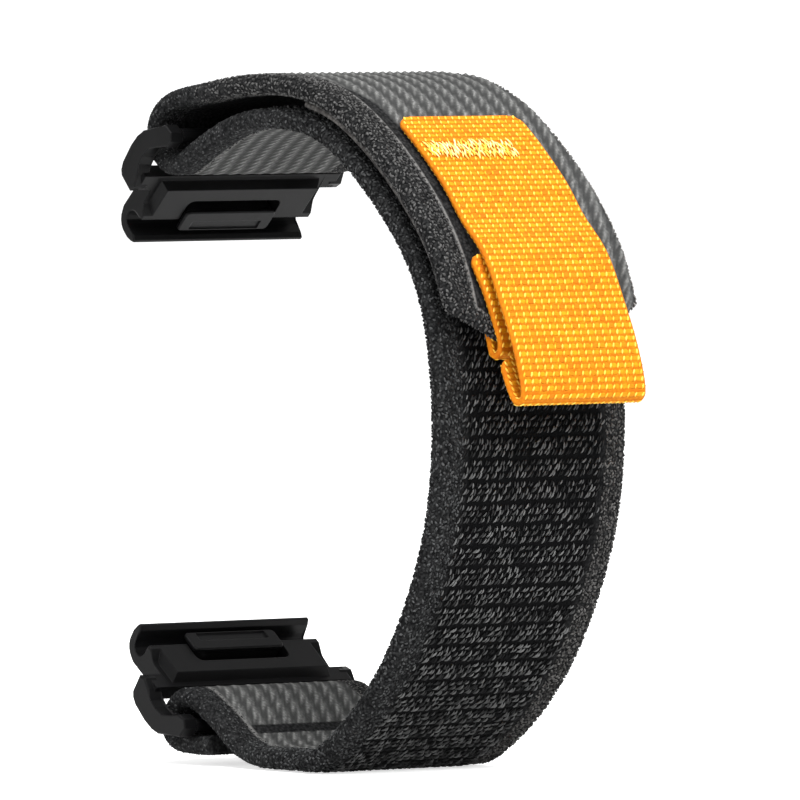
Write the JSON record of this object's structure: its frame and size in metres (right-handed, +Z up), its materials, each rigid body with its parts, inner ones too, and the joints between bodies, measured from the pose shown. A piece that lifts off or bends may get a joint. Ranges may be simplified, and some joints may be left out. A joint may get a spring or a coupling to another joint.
{
  "type": "hook-and-loop watch strap",
  "caption": "Woven hook-and-loop watch strap closed into a loop, with a sprung quick-release clip at each end and a webbing pull tab on its tail.",
  "frame": {"origin": "middle of the strap's bounding box, at the height of its lowest point", "axes": "+X to the front of the wrist, away from the clips; +Y across the strap; +Z up, along the loop's height"},
  "size_m": [0.0576, 0.0256, 0.0663],
  "materials": {
    "woven_nylon": "dark grey nylon, twill on the wrist face and loop pile on the other",
    "hook_tape": "dark grey hook tape",
    "orange_webbing": "orange plain-weave webbing with a soft sheen",
    "black_coated_metal": "satin black coating on steel",
    "spring_steel": "bare spring wire"
  },
  "bodies": {
    "strap": {"strap_band": "woven_nylon"},
    "tail": {"strap_tail": "woven_nylon", "hook_patch": "hook_tape", "tab_binding": "orange_webbing", "pull_tab": "orange_webbing"},
    "upper_clip": {"upper_clip_frame": "black_coated_metal", "upper_strap_bar": "black_coated_metal", "upper_latch_spring_near": "spring_steel", "upper_latch_spring_far": "spring_steel"},
    "upper_latch": {"upper_latch": "black_coated_metal"},
    "lower_clip": {"lower_clip_frame": "black_coated_metal", "lower_strap_bar": "black_coated_metal", "lower_latch_spring_near": "spring_steel", "lower_latch_spring_far": "spring_steel"},
    "lower_latch": {"lower_latch": "black_coated_metal"}
  },
  "joints": [
    {"name": "tail_peel", "type": "hinge", "parent": "strap", "child": "tail", "pos_m": [-0.00978, 0, 0.06611], "axis": [0, -1, 0], "range_deg": [0, 80]},
    {"name": "upper_clip_turn", "type": "hinge", "parent": "strap", "child": "upper_clip", "pos_m": [-0.01885, 0, 0.06033], "axis": [0, 1, 0], "range_deg": [-50, 60]},
    {"name": "lower_clip_turn", "type": "hinge", "parent": "strap", "child": "lower_clip", "pos_m": [-0.01673, 0, 0.00385], "axis": [0, 1, 0], "range_deg": [-30, 50]},
    {"name": "upper_latch_slide", "type": "slide", "parent": "upper_clip", "child": "upper_latch", "axis": [0.7034, 0, 0.7108], "range_m": [0, 0.001], "stiffness_N_per_m": 60, "springref_m": -0.001, "deforming": ["upper_latch_spring_near", "upper_latch_spring_far"]},
    {"name": "lower_latch_slide", "type": "slide", "parent": "lower_clip", "child": "lower_latch", "axis": [0.7815, 0, -0.6239], "range_m": [0, 0.001], "stiffness_N_per_m": 60, "springref_m": -0.001, "deforming": ["lower_latch_spring_near", "lower_latch_spring_far"]}
  ]
}
